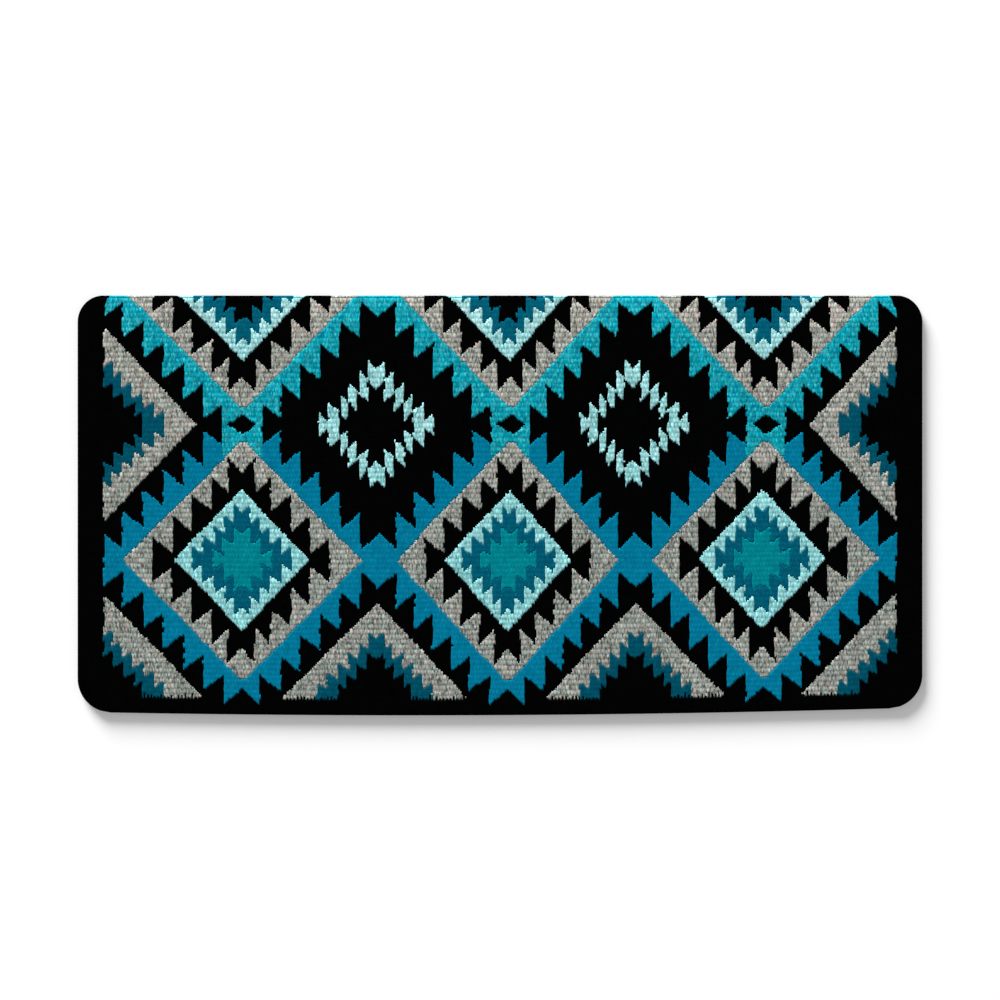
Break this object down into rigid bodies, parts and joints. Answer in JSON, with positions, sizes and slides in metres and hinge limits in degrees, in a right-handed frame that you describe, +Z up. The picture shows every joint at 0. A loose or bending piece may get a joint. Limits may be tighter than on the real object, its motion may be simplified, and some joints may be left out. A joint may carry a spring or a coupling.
{
  "type": "saddle blanket",
  "caption": "Thick woven wool blanket for under a saddle, folded in half along its spine line, with a traditional pattern of saw-edged diamonds woven into a black ground.",
  "frame": {"origin": "centre of the folded blanket's footprint, on the surface that it lies on", "axes": "+X along the horse's back from the front edge to the rear edge, +Y across it towards the fold, -Y towards the open hem, +Z up through the folded layers"},
  "size_m": [0.914, 0.451, 0.0106],
  "materials": {
    "black_wool": "matt weft-faced wool weave",
    "grey_wool": "matt weft-faced wool weave",
    "turquoise_wool": "matt weft-faced wool weave",
    "blue_wool": "matt weft-faced wool weave",
    "mint_wool": "matt weft-faced wool weave",
    "petrol_wool": "matt weft-faced wool weave",
    "teal_wool": "matt weft-faced wool weave"
  },
  "bodies": {
    "lower_half": {"lower_ground_cloth": "black_wool", "lower_turquoise_band": "turquoise_wool", "lower_blue_band": "blue_wool", "lower_grey_fold_diamond_front": "grey_wool", "lower_mint_fold_diamond_front": "mint_wool", "lower_grey_drop_diamond_front": "grey_wool", "lower_mint_drop_diamond_front": "mint_wool", "lower_petrol_drop_diamond_front": "petrol_wool", "lower_teal_drop_centre_front": "teal_wool", "lower_grey_fold_diamond_middle": "grey_wool", "lower_mint_fold_diamond_middle": "mint_wool", "lower_grey_drop_diamond_middle": "grey_wool", "lower_mint_drop_diamond_middle": "mint_wool", "lower_petrol_drop_diamond_middle": "petrol_wool", "lower_teal_drop_centre_middle": "teal_wool", "lower_grey_fold_diamond_rear": "grey_wool", "lower_mint_fold_diamond_rear": "mint_wool", "lower_grey_drop_diamond_rear": "grey_wool", "lower_mint_drop_diamond_rear": "mint_wool", "lower_petrol_drop_diamond_rear": "petrol_wool", "lower_teal_drop_centre_rear": "teal_wool", "lower_mint_flame_ring_front": "mint_wool", "lower_grey_end_chevron_front": "grey_wool", "lower_grey_hem_chevron_front": "grey_wool", "lower_grey_corner_chevron_front": "grey_wool", "lower_mint_flame_ring_rear": "mint_wool", "lower_grey_end_chevron_rear": "grey_wool", "lower_grey_hem_chevron_rear": "grey_wool", "lower_grey_corner_chevron_rear": "grey_wool"},
    "lower_rib": {"lower_spine_rib": "black_wool"},
    "upper_rib": {"upper_spine_rib": "black_wool"},
    "upper_half": {"upper_ground_cloth": "black_wool", "upper_turquoise_band": "turquoise_wool", "upper_blue_band": "blue_wool", "upper_grey_fold_diamond_front": "grey_wool", "upper_mint_fold_diamond_front": "mint_wool", "upper_grey_drop_diamond_front": "grey_wool", "upper_mint_drop_diamond_front": "mint_wool", "upper_petrol_drop_diamond_front": "petrol_wool", "upper_teal_drop_centre_front": "teal_wool", "upper_grey_fold_diamond_middle": "grey_wool", "upper_mint_fold_diamond_middle": "mint_wool", "upper_grey_drop_diamond_middle": "grey_wool", "upper_mint_drop_diamond_middle": "mint_wool", "upper_petrol_drop_diamond_middle": "petrol_wool", "upper_teal_drop_centre_middle": "teal_wool", "upper_grey_fold_diamond_rear": "grey_wool", "upper_mint_fold_diamond_rear": "mint_wool", "upper_grey_drop_diamond_rear": "grey_wool", "upper_mint_drop_diamond_rear": "mint_wool", "upper_petrol_drop_diamond_rear": "petrol_wool", "upper_teal_drop_centre_rear": "teal_wool", "upper_mint_flame_ring_front": "mint_wool", "upper_grey_end_chevron_front": "grey_wool", "upper_grey_hem_chevron_front": "grey_wool", "upper_grey_corner_chevron_front": "grey_wool", "upper_mint_flame_ring_rear": "mint_wool", "upper_grey_end_chevron_rear": "grey_wool", "upper_grey_hem_chevron_rear": "grey_wool", "upper_grey_corner_chevron_rear": "grey_wool"}
  },
  "joints": [
    {"name": "fold_lower", "type": "hinge", "parent": "lower_half", "child": "lower_rib", "pos_m": [0, 0.22285, 0.00071], "axis": [-1, 0, 0], "range_deg": [0, 60]},
    {"name": "fold_middle", "type": "hinge", "parent": "lower_rib", "child": "upper_rib", "pos_m": [0, 0.2255, 0.0053], "axis": [-1, 0, 0], "range_deg": [0, 60]},
    {"name": "fold_upper", "type": "hinge", "parent": "upper_rib", "child": "upper_half", "pos_m": [0, 0.22285, 0.00989], "axis": [-1, 0, 0], "range_deg": [0, 60]}
  ],
  "couplings": [
    {"joint": "fold_middle", "follows": "fold_lower", "ratio": 1},
    {"joint": "fold_upper", "follows": "fold_lower", "ratio": 1}
  ]
}
